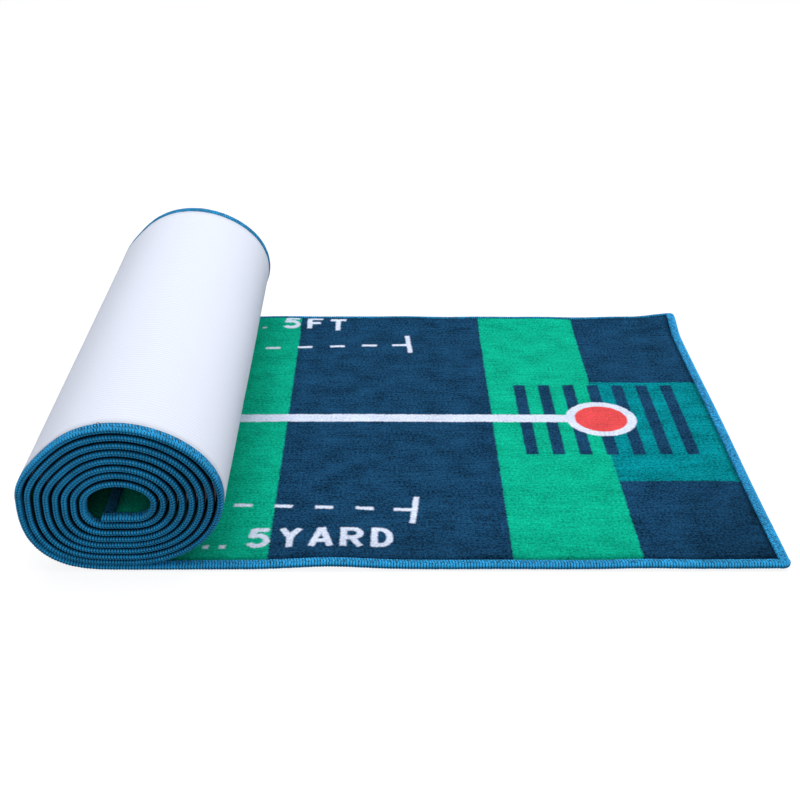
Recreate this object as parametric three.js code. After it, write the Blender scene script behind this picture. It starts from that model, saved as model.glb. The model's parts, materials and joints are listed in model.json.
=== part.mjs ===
// Practice putting mat, part rolled: a flat run lies on the floor and the rest winds up into an oval roll.
// Millimetres. +X runs along the mat towards its free end, +Y across it, +Z up. Z = 0 is the floor.
// The mat is a sandwich: a backing cloth, a printed pile on top of it, and a serged yarn edging all round.
// It bends along two rows of hinge lines: four that lift the free end and three that open the roll by almost half a turn.
import * as THREE from "three";

// ---------- driving dimensions ----------
const MAT_WIDTH = 500; // across, over both edgings
const FREE_END_X = 313.5; // outer face of the edging at the free end
const THICKNESS = 5.7; // edging, where nothing presses on it
const BACKING_SHARE = 0.35; // of the thickness
const PILE_BELOW_EDGING = 0.6; // the pile stands this much lower than the edging
const EDGING_WIDTH = 9.5;
const LAYER_GAP = 0.3; // between pieces that touch on the real mat
const CORNER_RADIUS = 14; // outside of the edging at the free end

// the roll: one turn is tau 0 to 1, from the tangent point on the floor, up the left side, over the top and down again
const TURNS = 8.1;
const STEPS_PER_TURN = 28;
const ROLL_CENTRE_X = -228.9;
const CENTRE_DRIFT = -0.175; // per turn
const HALF_WIDTH = 83.53; // of the centreline, outermost turn
const HALF_WIDTH_STEP = -7.36; // per turn
const TOP_Z = 133.6; // centreline at the top of the roll
const TOP_STEP = -6.87;
const BOTTOM_Z = 2.3; // centreline under the roll
const BOTTOM_STEP = 4.92;
const BOTTOM_STEP_GROWTH = 0.12;
// bulge of each quarter turn away from an ellipse, and its change per turn: lower left, upper left, upper right, lower right
const BULGE = [
  [8.8, -0.55],
  [-2.6, 0.33],
  [-0.7, 0.08],
  [0, 0.25],
];
// the roll's weight presses the layers under it thinner
const SQUEEZE = 1.1;
const SQUEEZE_STEP = -0.13; // per turn
const SQUEEZE_FADE = 70; // along the flat run

// the rolled part is cut into lengths that end at these turns; the last turn, which walls the eye, is cut into three
const ROLL_LENGTHS = { roll: 5, inner: 7, core_1: 7.25, core_2: 7.75 };

// hinge lines: places on the outermost turn for the roll, X positions for the free end
const ROLL_HINGES = [0.11, 0.241, 0.424];
const LIFT_HINGES = [130, 175, 220, 265];

// ---------- materials ----------
const pileCloth = new THREE.MeshStandardMaterial({
  name: "pile",
  color: 0x149a78,
  roughness: 0.95,
  metalness: 0,
});
const backingCloth = new THREE.MeshStandardMaterial({
  name: "backing",
  color: 0xe8ecf6,
  roughness: 0.85,
  metalness: 0,
});
const edgingYarn = new THREE.MeshStandardMaterial({
  name: "edging",
  color: 0x2484c0,
  roughness: 0.8,
  metalness: 0,
});

// ---------- the path of the mat, seen from its near side ----------
// A station is a point on the backing's outer face, the unit normal towards the pile, and the local thickness.
function centreline(tau) {
  const theta = 2 * Math.PI * tau;
  const top = TOP_Z + TOP_STEP * tau;
  const bottom = BOTTOM_Z + BOTTOM_STEP * tau + BOTTOM_STEP_GROWTH * tau * tau;
  const [bulge, step] = BULGE[Math.floor(4 * (tau - Math.floor(tau)))];
  const extra = (bulge + step * tau) * Math.sin(2 * theta) ** 2;
  const across = HALF_WIDTH + HALF_WIDTH_STEP * tau + extra;
  const up = (top - bottom) / 2 + extra;
  return new THREE.Vector2(
    ROLL_CENTRE_X + CENTRE_DRIFT * tau - across * Math.sin(theta),
    (top + bottom) / 2 - up * Math.cos(theta),
  );
}

function rollStation(tau) {
  const d = 1e-4;
  const p = centreline(tau);
  const ahead = centreline(tau + d).sub(centreline(Math.max(tau - d, 0)));
  const normal = new THREE.Vector2(ahead.y, -ahead.x).normalize();
  const pressed = (0.5 * (1 + Math.cos(2 * Math.PI * tau))) ** 2;
  const t = THICKNESS - (SQUEEZE + SQUEEZE_STEP * tau) * pressed;
  return { p: p.addScaledVector(normal, -t / 2), normal, t };
}

function flatStation(x) {
  const near = THREE.MathUtils.clamp(1 - (x - ROLL_CENTRE_X) / SQUEEZE_FADE, 0, 1);
  const t = THICKNESS - SQUEEZE * near * near * (3 - 2 * near);
  return { p: new THREE.Vector2(x, 0), normal: new THREE.Vector2(0, 1), t };
}

// turns of the roll that one millimetre along the mat takes at tau
function perMillimetre(tau) {
  const d = 1e-3;
  return d / centreline(tau + d).distanceTo(centreline(tau));
}

// stations from tau a to tau b, half a gap short of a hinge line at either end
function rollStations(a, b, gapA = true, gapB = true) {
  const first = a + (gapA ? (LAYER_GAP / 2) * perMillimetre(a) : 0);
  const last = b - (gapB ? (LAYER_GAP / 2) * perMillimetre(b) : 0);
  const taus = [first];
  const from = Math.ceil(first * STEPS_PER_TURN + 0.15);
  for (let k = from; k / STEPS_PER_TURN < last - 0.15 / STEPS_PER_TURN; k++)
    taus.push(k / STEPS_PER_TURN);
  taus.push(last);
  return taus.map(rollStation);
}

// ---------- solids ----------
// A band follows the stations. lo and hi give, for a station's thickness, how far its faces stand from the outer face.
function band(name, material, stations, lo, hi, y0, y1) {
  const at = (s, d) => s.p.clone().addScaledVector(s.normal, d);
  const outline = [
    ...stations.map((s) => at(s, lo(s.t))),
    ...stations.map((s) => at(s, hi(s.t))).reverse(),
  ];
  const geometry = new THREE.ExtrudeGeometry(new THREE.Shape(outline), {
    depth: y1 - y0,
    bevelEnabled: false,
  });
  geometry.rotateX(Math.PI / 2); // the outline stands up in XZ, and the depth runs towards -Y
  geometry.translate(0, y1, 0);
  const mesh = new THREE.Mesh(geometry, material);
  mesh.name = name;
  return mesh;
}

const outerY = MAT_WIDTH / 2;
const edgingY = outerY - EDGING_WIDTH;
const clothY = edgingY - LAYER_GAP;
const layers = {
  backing: [backingCloth, () => 0, (t) => BACKING_SHARE * t, -clothY, clothY],
  pile: [
    pileCloth,
    (t) => BACKING_SHARE * t + LAYER_GAP,
    (t) => t - PILE_BELOW_EDGING,
    -clothY,
    clothY,
  ],
  edging_near: [edgingYarn, () => 0, (t) => t, -outerY, -edgingY],
  edging_far: [edgingYarn, () => 0, (t) => t, edgingY, outerY],
};

// One rigid length of mat: its backing, pile and two edgings.
function section(name, stations, only = Object.keys(layers)) {
  const group = new THREE.Group();
  group.name = name;
  for (const layer of only)
    group.add(band(`${name}_${layer}`, layers[layer][0], stations, ...layers[layer].slice(1)));
  return group;
}

// A flat plate with rounded corners at the free end, from x0 to x1.
function endOutline(x0, x1, y, r) {
  const shape = new THREE.Shape();
  shape.moveTo(x0, -y);
  shape.lineTo(x1 - r, -y);
  shape.absarc(x1 - r, -y + r, r, -Math.PI / 2, 0, false);
  shape.lineTo(x1, y - r);
  shape.absarc(x1 - r, y - r, r, 0, Math.PI / 2, false);
  shape.lineTo(x0, y);
  return shape;
}

function plate(name, material, shape, z0, z1) {
  const geometry = new THREE.ExtrudeGeometry(shape, {
    depth: z1 - z0,
    bevelEnabled: false,
    curveSegments: 6,
  });
  geometry.translate(0, 0, z0);
  const mesh = new THREE.Mesh(geometry, material);
  mesh.name = name;
  return mesh;
}

// The last length of the flat run: the edging turns both corners in one piece.
function freeEnd(x0) {
  const group = new THREE.Group();
  group.name = "free_end";
  const t = THICKNESS;
  const innerRadius = CORNER_RADIUS - EDGING_WIDTH;
  const clothEnd = FREE_END_X - EDGING_WIDTH - LAYER_GAP;
  const cloth = endOutline(x0, clothEnd, clothY, innerRadius - LAYER_GAP);
  group.add(plate("free_end_backing", backingCloth, cloth, 0, BACKING_SHARE * t));
  group.add(
    plate("free_end_pile", pileCloth, cloth, BACKING_SHARE * t + LAYER_GAP, t - PILE_BELOW_EDGING),
  );
  const outer = endOutline(x0, FREE_END_X, outerY, CORNER_RADIUS).getPoints(6);
  const inner = endOutline(x0, FREE_END_X - EDGING_WIDTH, edgingY, innerRadius).getPoints(6);
  const ring = new THREE.Shape([...outer, ...inner.reverse()]);
  group.add(plate("free_end_edging", edgingYarn, ring, 0, t));
  return group;
}

// ---------- the mat ----------
const mat = new THREE.Group();
mat.name = "putting_mat";

// free end, then the lengths between its hinge lines
const half = LAYER_GAP / 2;
mat.add(freeEnd(LIFT_HINGES.at(-1) + half));
for (let i = 0; i + 1 < LIFT_HINGES.length; i++)
  mat.add(
    section(`lift_${i + 1}`, [
      flatStation(LIFT_HINGES[i + 1] - half),
      flatStation(LIFT_HINGES[i] + half),
    ]),
  );

// the flat run that stays on the floor, as far as the first hinge line of the roll
const fade = [1, 0.8, 0.6, 0.4, 0.2].map((k) => flatStation(ROLL_CENTRE_X + k * SQUEEZE_FADE));
mat.add(
  section("flat", [
    flatStation(LIFT_HINGES[0] - half),
    ...fade,
    ...rollStations(0, ROLL_HINGES[0], false, true),
  ]),
);

// the lengths that open, up the left side of the outermost turn
for (let i = 0; i + 1 < ROLL_HINGES.length; i++)
  mat.add(section(`open_${i + 1}`, rollStations(ROLL_HINGES[i], ROLL_HINGES[i + 1])));

// the rest of the roll, and its last length: there the cloth stops short of the edging that closes the inner end
let start = ROLL_HINGES.at(-1);
for (const [name, end] of Object.entries(ROLL_LENGTHS)) {
  mat.add(section(name, rollStations(start, end)));
  start = end;
}
const closing = EDGING_WIDTH * perMillimetre(TURNS);
const clothStop = TURNS - closing - LAYER_GAP * perMillimetre(TURNS);
mat.add(section("core_3", rollStations(start, clothStop, true, false), ["backing", "pile"]));
mat.add(
  section("core_3", rollStations(start, TURNS, true, false), ["edging_near", "edging_far"]),
);
mat.add(
  band(
    "core_end_edging",
    edgingYarn,
    rollStations(TURNS - closing, TURNS, false, false),
    () => 0,
    (t) => t,
    -clothY,
    clothY,
  ),
);

export default mat;
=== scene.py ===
"""Practice putting mat, part rolled: printed pile, ribbed backing and serged edging.

Lengths in the classes are millimetres and are turned to metres where a mesh is made. +X runs along the mat
towards its free end, +Y across it, +Z up from the floor. "Run" is the distance along the mat from that end.
"""

import json
import logging
import math
from dataclasses import dataclass
from enum import Enum, IntEnum
from functools import partial

import bpy
import numpy as np
from mathutils import Matrix, Vector

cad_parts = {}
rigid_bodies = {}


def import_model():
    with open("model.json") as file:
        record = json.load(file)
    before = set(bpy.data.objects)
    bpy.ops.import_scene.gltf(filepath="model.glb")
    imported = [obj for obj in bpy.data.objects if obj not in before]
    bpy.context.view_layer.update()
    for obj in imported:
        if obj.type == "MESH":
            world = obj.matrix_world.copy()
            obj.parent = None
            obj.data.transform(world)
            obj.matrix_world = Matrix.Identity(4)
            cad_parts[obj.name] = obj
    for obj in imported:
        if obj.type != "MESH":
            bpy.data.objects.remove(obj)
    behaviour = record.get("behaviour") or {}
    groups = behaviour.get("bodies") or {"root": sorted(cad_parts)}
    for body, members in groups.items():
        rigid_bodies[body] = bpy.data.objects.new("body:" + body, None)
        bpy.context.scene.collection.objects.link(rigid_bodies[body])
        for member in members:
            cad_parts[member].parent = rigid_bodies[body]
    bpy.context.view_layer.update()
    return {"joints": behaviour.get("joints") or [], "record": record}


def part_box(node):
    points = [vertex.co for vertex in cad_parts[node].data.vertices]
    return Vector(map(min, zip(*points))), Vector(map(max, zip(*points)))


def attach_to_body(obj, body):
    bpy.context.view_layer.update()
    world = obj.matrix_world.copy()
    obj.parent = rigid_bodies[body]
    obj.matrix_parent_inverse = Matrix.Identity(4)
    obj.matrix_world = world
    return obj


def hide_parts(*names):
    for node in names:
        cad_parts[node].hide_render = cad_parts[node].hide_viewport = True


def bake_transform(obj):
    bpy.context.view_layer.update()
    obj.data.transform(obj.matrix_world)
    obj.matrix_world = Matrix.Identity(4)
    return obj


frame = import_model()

log = logging.getLogger("putting_mat")
MM = 0.001
TINY = 1e-6
NEAR, FAR = -1.0, 1.0  # the two long edges of the mat, by the sign of Y


class Layer(Enum):
    """The three materials that the mat is built up from."""

    BACKING = "backing"
    PILE = "pile"
    EDGING = "edging"


# ---------------------------------------------------------------- sizes and the path of the mat


@dataclass(frozen=True)
class MatSize:
    """Driving dimensions of the mat, in millimetres.

    They are those of the CAD model, except that the corner is rounded tighter, one quarter's bulge leans, and
    the roll's far end is askew, taller and flared.
    """

    free_end_x: float
    half_width: float
    thickness: float = 5.7
    backing_share: float = 0.35  # of the thickness
    pile_below: float = 0.6  # the top of the edging
    edging_width: float = 9.5
    gap: float = 0.3
    corner_radius: float = 10.5
    corner_bulge: float = 1.2
    turns: float = 8.1
    roll_centre_x: float = -228.9
    centre_drift: float = -0.175  # this and each step is for one turn
    roll_half_width: float = 83.53
    half_width_step: float = -7.36
    top_z: float = 133.6
    top_step: float = -6.87
    bottom_z: float = 2.3
    bottom_step: float = 4.92
    bottom_growth: float = 0.12
    # start, growth for each turn and lean of each quarter's bulge
    bulge: tuple[tuple[float, float, float], ...] = (
        (8.8, -0.55, 0.0), (-4.2, 0.53, 3.0), (-0.7, 0.08, 0.0), (0.0, 0.25, 0.0)
    )
    squeeze: float = 1.1  # loss of thickness under the roll
    squeeze_step: float = -0.13
    squeeze_fade: float = 70.0
    roll_skew: float = -5.0
    roll_rise: float = 4.0
    roll_flare: float = 2.7

    @property
    def cloth_half(self) -> float:
        """Half the width of the pile and backing, up to the gap beside the edging."""
        return self.half_width - self.edging_width - self.gap

    @classmethod
    def from_frame(cls) -> "MatSize":
        """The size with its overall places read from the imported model."""
        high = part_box("free_end_edging")[1]
        return cls(free_end_x=high.x / MM, half_width=high.y / MM)


class ValueNoise:
    """Smooth noise in two directions that is the same on every piece, so that pieces meet without a step."""

    def __init__(self, seed: int, cell: float, cell_across: float | None = None) -> None:
        """Draws the lattice of values.

        Args:
            seed: number that fixes the draw.
            cell: lattice spacing along the mat, in millimetres.
            cell_across: spacing across it, the same if left out.
        """
        self.cell = cell
        self.cell_across = cell_across or cell
        self.lattice = np.random.default_rng(seed).uniform(-1, 1, (257, 263))

    def at(self, run: np.ndarray, y: np.ndarray) -> np.ndarray:
        """The noise at places on the mat: smoothstep between the four lattice values round each.

        Args:
            run: millimetres along the mat.
            y: millimetres across it.

        Returns:
            Values from -1 to 1, in the shape of the two arrays together.
        """
        u, v = np.broadcast_arrays(run / self.cell, y / self.cell_across)
        i, j = np.floor(u).astype(int), np.floor(v).astype(int)
        a, b = u - i, v - j
        a, b = a * a * (3 - 2 * a), b * b * (3 - 2 * b)
        rows, columns = self.lattice.shape
        i, j, i_next, j_next = i % rows, j % columns, (i + 1) % rows, (j + 1) % columns
        low = self.lattice[i, j] * (1 - a) + self.lattice[i_next, j] * a
        high = self.lattice[i, j_next] * (1 - a) + self.lattice[i_next, j_next] * a
        return low * (1 - b) + high * b


def smoothstep(x: np.ndarray, low: float, high: float) -> np.ndarray:
    """0 below low, 1 above high, and a smooth cubic between."""
    s = np.clip((x - low) / (high - low), 0, 1)
    return s * s * (3 - 2 * s)


@dataclass(frozen=True)
class Lie:
    """How the flat run lifts and the roll lies loose, in millimetres. Pairs are where each fades in."""

    near_edge_from: float = 150.0
    # height, X and spread of each
    near_bumps: tuple[tuple[float, float, float], ...] = ((2.5, -67.0, 38.0), (1.1, 196.0, 34.0))
    far_corner: float = 4.5
    far_corner_from: tuple[float, float] = (262.0, 190.0)  # X and Y
    end_from: float = 200.0
    end_ripple: float = 47.0
    heave: float = 0.35
    flat_fade: tuple[float, float] = (-165.0, -105.0)
    crest: float = 4.6
    # height, length and shift of each
    crest_waves: tuple[tuple[float, float, float], ...] = ((0.7, 21.0, 0.0), (0.4, 12.5, 1.0))
    crest_rise: tuple[float, float] = (200.0, 238.0)
    crest_down_from: float = 236.0
    crest_down_past: float = 3.0  # past the edge of the mat
    crest_down: float = 0.9
    crest_fade: tuple[float, float] = (-215.0, -178.0)
    roll_start: float = 90.0
    loose: float = 0.22
    wander: float = 0.55
    flare_on: tuple[float, float] = (0.25, 0.5)  # turns
    flare_off: tuple[float, float] = (0.65, 0.9)
    flare_from: float = 236.0
    flare_past: float = 2.0


class MatPath:
    """Where the mat lies: the flat run on the floor, then the roll that it winds up into."""

    STEPS_PER_TURN = 1500

    def __init__(self, size: MatSize) -> None:
        """Works out the roll as a table of points against the distance along the mat.

        Args:
            size: the mat's dimensions.
        """
        self.size, self.lie = size, Lie()
        self.flat_run = size.free_end_x - size.roll_centre_x
        tau = np.linspace(0, size.turns, int(size.turns * self.STEPS_PER_TURN) + 1)
        centre = self.centreline(tau)
        step = np.gradient(centre, axis=0)
        step /= np.linalg.norm(step, axis=1)[:, None]
        normal = np.stack([step[:, 1], -step[:, 0]], -1)
        pressed = (0.5 * (1 + np.cos(2 * np.pi * tau))) ** 2
        thick = size.thickness - (size.squeeze + size.squeeze_step * tau) * pressed
        reach = np.concatenate([[0], np.cumsum(np.hypot(*np.diff(centre, axis=0).T))])
        self.tau, self.run = tau, self.flat_run + reach
        self.outer, self.normal, self.thick = centre - normal * thick[:, None] / 2, normal, thick
        self.loose = 1 - pressed
        self.length = self.run[-1]
        self.wobble = ValueNoise(3, 34.0, 400.0)
        self.wander = ValueNoise(5, 55.0, 1000.0)
        self.heave = ValueNoise(7, 60.0, 110.0)

    def centreline(self, tau: np.ndarray) -> np.ndarray:
        """The roll's centreline: an oval whose half width, top and bottom change evenly with the turns.

        Each quarter turn also bulges by its own amount times the square of sin(2 theta), leaning to one end.

        Args:
            tau: turns from the point where the roll leaves the floor.

        Returns:
            X and Z for each value, as an array of pairs.
        """
        s = self.size
        theta = 2 * np.pi * tau
        top = s.top_z + s.top_step * tau
        bottom = s.bottom_z + s.bottom_step * tau + s.bottom_growth * tau**2
        quarter = np.floor(4 * (tau % 1)).astype(int)
        start, growth, lean = np.array(s.bulge).T
        lean = lean[quarter] * (1 - tau / s.turns) * np.cos(2 * theta)
        bulge = start[quarter] + growth[quarter] * tau + lean
        extra = bulge * np.sin(2 * theta) ** 2
        across = s.roll_half_width + s.half_width_step * tau + extra
        up = (top - bottom) / 2 + extra
        x = s.roll_centre_x + s.centre_drift * tau - across * np.sin(theta)
        return np.stack([x, (top + bottom) / 2 - up * np.cos(theta)], -1)

    def station(self, run: np.ndarray) -> tuple[np.ndarray, np.ndarray, np.ndarray]:
        """The path at distances along the mat.

        Args:
            run: millimetres from the free end.

        Returns:
            Points on the backing's outer face, unit normals towards the pile, and the thicknesses.
        """
        s = self.size
        x = s.free_end_x - run
        near = np.clip(1 - (x - s.roll_centre_x) / s.squeeze_fade, 0, 1)
        flat_thick = s.thickness - s.squeeze * near**2 * (3 - 2 * near)
        rolled = run > self.flat_run
        columns = (*self.outer.T, *self.normal.T, self.thick)
        at_x, at_z, normal_x, normal_z, roll_thick = (np.interp(run, self.run, values) for values in columns)
        point, normal = np.stack([at_x, at_z], -1), np.stack([normal_x, normal_z], -1)
        flat_point = np.stack([x, np.zeros_like(x)], -1)
        keep = rolled[..., None]
        return (
            np.where(keep, point, flat_point),
            np.where(keep, normal, np.array([0.0, 1.0])),
            np.where(rolled, roll_thick, flat_thick),
        )

    def relief(self, run: np.ndarray, y: np.ndarray) -> np.ndarray:
        """How far the flat run lifts off the floor: it remembers being rolled, most along its edges.

        A sum of soft bumps on the edges and corners and a low heave, faded out before the roll, and a wavy
        crest a little inside the far edge, which turns down to the floor again.

        Args:
            run: millimetres along the mat.
            y: millimetres across it.

        Returns:
            The lift in millimetres.
        """
        s, lie = self.size, self.lie
        x = s.free_end_x - run
        near_edge = smoothstep(-y, lie.near_edge_from, s.half_width)
        lift = 0.0
        for height, at, spread in lie.near_bumps:
            lift = lift + height * near_edge * np.exp(-(((x - at) / spread) ** 2))
        corner_x, corner_y = lie.far_corner_from
        corner = smoothstep(y, corner_y, s.half_width) * smoothstep(x, corner_x, s.free_end_x)
        lift = lift + lie.far_corner * corner
        lift = lift + smoothstep(x, lie.end_from, s.free_end_x) * (0.5 + 0.5 * np.cos(y / lie.end_ripple))
        lift = lift + lie.heave * (1 + self.heave.at(run, y))
        down = smoothstep(y, lie.crest_down_from, s.half_width + lie.crest_down_past)
        crest = smoothstep(y, *lie.crest_rise) * (1 - lie.crest_down * down)
        (high, length, shift), (high_2, length_2, shift_2) = lie.crest_waves
        wave = lie.crest + high * np.cos(x / length + shift) + high_2 * np.sin(x / length_2 + shift_2)
        return lift * smoothstep(x, *lie.flat_fade) + crest * wave * smoothstep(x, *lie.crest_fade)

    def place(self, run: np.ndarray, depth: np.ndarray, y: np.ndarray) -> np.ndarray:
        """Points of the mat in the shared frame: along the normal by depth, then lifted and loosened.

        In the roll, each turn stands in or out by a fraction of a millimetre where it isn't pressed, and its
        edge wanders sideways a little. Towards its far end the roll lies a little askew and is a little
        taller, and the outermost turn flares out there.

        Args:
            run: millimetres along the mat.
            depth: millimetres from the backing's outer face towards the pile.
            y: millimetres across it.

        Returns:
            Points in metres, with one more axis than the arrays.
        """
        s, lie = self.size, self.lie
        run, depth, y = np.broadcast_arrays(run, depth, y)
        point, normal, _ = self.station(run)
        rolled = smoothstep(run, self.flat_run, self.flat_run + lie.roll_start)
        loose = np.where(run > self.flat_run, np.interp(run, self.run, self.loose), 0.0)
        depth = depth + lie.loose * rolled * loose * self.wobble.at(run, y)
        turns = np.interp(run, self.run, self.tau, left=0.0)
        flared = smoothstep(turns, *lie.flare_on) * (1 - smoothstep(turns, *lie.flare_off))
        depth = depth - s.roll_flare * flared * smoothstep(y, lie.flare_from, s.half_width + lie.flare_past)
        side = y + lie.wander * rolled * self.wander.at(run, np.zeros_like(run))
        x = point[..., 0] + normal[..., 0] * depth
        z = point[..., 1] + normal[..., 1] * depth
        far = rolled * (0.5 + 0.5 * y / s.half_width)
        x = x + s.roll_skew * far
        z = z * (1 + s.roll_rise * far / s.top_z) + self.relief(run, y)
        return np.stack([x, side, z], -1) * MM

    def run_after(self, turns: float) -> float:
        """The distance along the mat at which the roll has wound up that many turns, in millimetres."""
        return float(np.interp(turns, self.tau, self.run))

    def run_at(self, x: float, z: float) -> float:
        """Finds the place on the outermost turn that is nearest to a point.

        Args:
            x: the point's X, in millimetres.
            z: its height.

        Returns:
            The distance along the mat, in millimetres.
        """
        turn = self.tau < 1
        gap = np.hypot(self.outer[turn, 0] - x, self.outer[turn, 1] - z)
        return float(self.run[turn][gap.argmin()])


# ---------------------------------------------------------------- the lengths that follow the bodies


@dataclass(frozen=True)
class Reach:
    """A length of the mat that rides on one body, or crosses the hinge that joins two."""

    name: str
    start: float
    end: float
    bodies: tuple[str, ...]
    stands_for: tuple[str, ...]

    @property
    def bends(self) -> bool:
        """Whether this length crosses a hinge line."""
        return len(self.bodies) == 2

    @property
    def rolled(self) -> bool:
        """Whether this length belongs to the roll's own body."""
        return self.bodies == ("roll",)


BEND_MARGIN = 30.0  # how far the outer opening bends reach past their hinge lines, in millimetres


def reaches(path: MatPath) -> list[Reach]:
    """Cuts the mat into lengths half way between its hinge lines.

    Args:
        path: the path of the mat.

    Returns:
        The lengths in order from the free end to the middle of the roll.
    """
    joint = {j["name"]: j for j in frame["joints"]}
    lift = [joint[n] for n in ("lift_bend_4", "lift_bend_3", "lift_bend_2", "lift_end")]
    turn = [joint[n] for n in ("open_roll", "open_bend_2", "open_bend_3")]
    lift_run = [path.size.free_end_x - j["pos_m"][0] / MM for j in lift]
    turn_run = [path.run_at(j["pos_m"][0] / MM, j["pos_m"][2] / MM) for j in turn]
    spacing = lift_run[1] - lift_run[0]
    cuts = [lift_run[0] - spacing / 2] + [r + spacing / 2 for r in lift_run]
    flat_end = turn_run[0] - BEND_MARGIN
    rolls = [(a + b) / 2 for a, b in zip(turn_run, turn_run[1:])] + [turn_run[-1] + BEND_MARGIN]
    made = [Reach("free_end", 0.0, cuts[0], ("free_end",), ("free_end",))]
    for j, a, b in zip(lift, cuts, cuts[1:]):
        stands = () if j["parent"] == "flat" else (j["parent"],)
        made.append(Reach(j["name"], a, b, (j["child"], j["parent"]), stands))
    made.append(Reach("flat", cuts[-1], flat_end, ("flat",), ("flat",)))
    for j, a, b in zip(turn, [flat_end, *rolls], rolls):
        stands = () if j["child"] == "roll" else (j["child"],)
        made.append(Reach(j["name"], a, b, (j["parent"], j["child"]), stands))
    nodes = frame["record"]["behaviour"]["bodies"]["roll"]
    groups = tuple(n.removesuffix("_backing") for n in nodes if n.endswith("_backing"))
    made.append(Reach("roll", rolls[-1], path.length, ("roll",), groups))
    return made


# ---------------------------------------------------------------- meshes


def signed_volume(points: np.ndarray, quads: np.ndarray) -> float:
    """Six times the volume that the quads enclose, negative if they face inwards."""
    a, b, c, d = (points[quads[:, k]] for k in range(4))
    return float(np.sum(a * np.cross(b, c)) + np.sum(a * np.cross(c, d)))


def tube_mesh(
    name: str, rings: np.ndarray, fields: dict[str, np.ndarray], uv: np.ndarray
) -> bpy.types.Object:
    """Makes a closed body from rings of points: quads between neighbouring rings and a flat face on each end.

    Args:
        name: name of the object.
        rings: array of rings by points by three coordinates, in metres.
        fields: float values for each point, by attribute name, in the shape of rings without the last axis.
        uv: two coordinates for each point, in metres along and across the mat.

    Returns:
        The object, linked to the scene.
    """
    count, around = rings.shape[:2]
    index = np.arange(count * around).reshape(count, around)
    a, b = index[:-1], index[1:]
    quads = np.stack([a, b, np.roll(b, -1, 1), np.roll(a, -1, 1)], -1).reshape(-1, 4)
    points = rings.reshape(-1, 3)
    first, last = index[0], index[-1][::-1]
    if signed_volume(points, quads) < 0:
        quads, first, last = quads[:, ::-1], first[::-1], last[::-1]
    corners = np.concatenate([quads.ravel(), first, last]).astype(np.int32)
    mesh = bpy.data.meshes.new(name)
    mesh.vertices.add(len(points))
    mesh.vertices.foreach_set("co", points.astype(np.float32).ravel())
    mesh.loops.add(len(corners))
    mesh.loops.foreach_set("vertex_index", corners)
    starts = np.concatenate([np.arange(len(quads)) * 4, [len(quads) * 4, len(quads) * 4 + around]])
    mesh.polygons.add(len(starts))
    mesh.polygons.foreach_set("loop_start", starts.astype(np.int32))
    mesh.update(calc_edges=True)
    smooth = np.ones(len(starts), bool)
    smooth[-2:] = False
    mesh.polygons.foreach_set("use_smooth", smooth)
    layer = mesh.uv_layers.new(name="UVMap")
    layer.data.foreach_set("uv", uv.reshape(-1, 2)[corners].astype(np.float32).ravel())
    for label, values in fields.items():
        attribute = mesh.attributes.new(label, "FLOAT", "POINT")
        attribute.data.foreach_set("value", np.ascontiguousarray(values, np.float32).ravel())
    mesh.validate()
    made = bpy.data.objects.new(name, mesh)
    bpy.context.scene.collection.objects.link(made)
    return made


def spaced(start: float, end: float, step: float) -> np.ndarray:
    """Evenly spaced values from start to end, about a step apart."""
    return np.linspace(start, end, max(2, int(round(abs(end - start) / step)) + 1))


# ---------------------------------------------------------------- what is printed on the pile


@dataclass(frozen=True)
class Bar:
    """A straight printed stroke between two points, in millimetres on the mat."""

    x0: float
    y0: float
    x1: float
    y1: float
    width: float

    @property
    def span(self) -> tuple[float, float]:
        """The lowest and highest X of the stroke's middle line."""
        return min(self.x0, self.x1), max(self.x0, self.x1)

    def distance(self, x: np.ndarray, y: np.ndarray) -> np.ndarray:
        """Signed distance to the stroke's outline, negative inside: a box turned to lie along the stroke.

        Args:
            x: millimetres along the mat.
            y: millimetres across it.

        Returns:
            The distance in millimetres.
        """
        length = math.hypot(self.x1 - self.x0, self.y1 - self.y0)
        ux, uy = (self.x1 - self.x0) / length, (self.y1 - self.y0) / length
        dx, dy = x - (self.x0 + self.x1) / 2, y - (self.y0 + self.y1) / 2
        along = np.abs(dx * ux + dy * uy) - length / 2
        across = np.abs(dy * ux - dx * uy) - self.width / 2
        return box_distance(along, across)


@dataclass(frozen=True)
class Bow:
    """A curved printed stroke, part of an ellipse between two angles, in millimetres on the mat."""

    x: float
    y: float
    radius_x: float
    radius_y: float
    start: float
    end: float
    width: float

    @property
    def span(self) -> tuple[float, float]:
        """The X of the ellipse's middle, twice: no bow reaches far from it."""
        return self.x, self.x

    def distance(self, x: np.ndarray, y: np.ndarray) -> np.ndarray:
        """Signed distance to the stroke's outline, negative inside: an ellipse's ring, cut at two angles.

        The distance to the ellipse is its implicit value divided by the length of that value's slope.

        Args:
            x: millimetres along the mat.
            y: millimetres across it.

        Returns:
            The distance in millimetres.
        """
        dx, dy = x - self.x, y - self.y
        value = np.hypot(dx / self.radius_x, dy / self.radius_y)
        slope = np.hypot(dx / self.radius_x**2, dy / self.radius_y**2) / np.maximum(value, TINY)
        ring = np.abs(value - 1) / np.maximum(slope, TINY) - self.width / 2
        middle, half = (self.start + self.end) / 2, (self.end - self.start) / 2
        angle = np.arctan2(dy / self.radius_y, dx / self.radius_x)
        off = np.abs((angle - math.radians(middle) + np.pi) % (2 * np.pi) - np.pi)
        return np.maximum(ring, (off - math.radians(half)) * min(self.radius_x, self.radius_y))


def box_distance(a: np.ndarray, b: np.ndarray) -> np.ndarray:
    """Signed distance to a box from the distances past its two pairs of sides."""
    return np.hypot(np.maximum(a, 0), np.maximum(b, 0)) + np.minimum(np.maximum(a, b), 0)


STROKE = 5.5  # width of the figures' strokes
GLYPH_WIDTH, GLYPH_HEIGHT = 19, 29  # the box that the figures are drawn in


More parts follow.
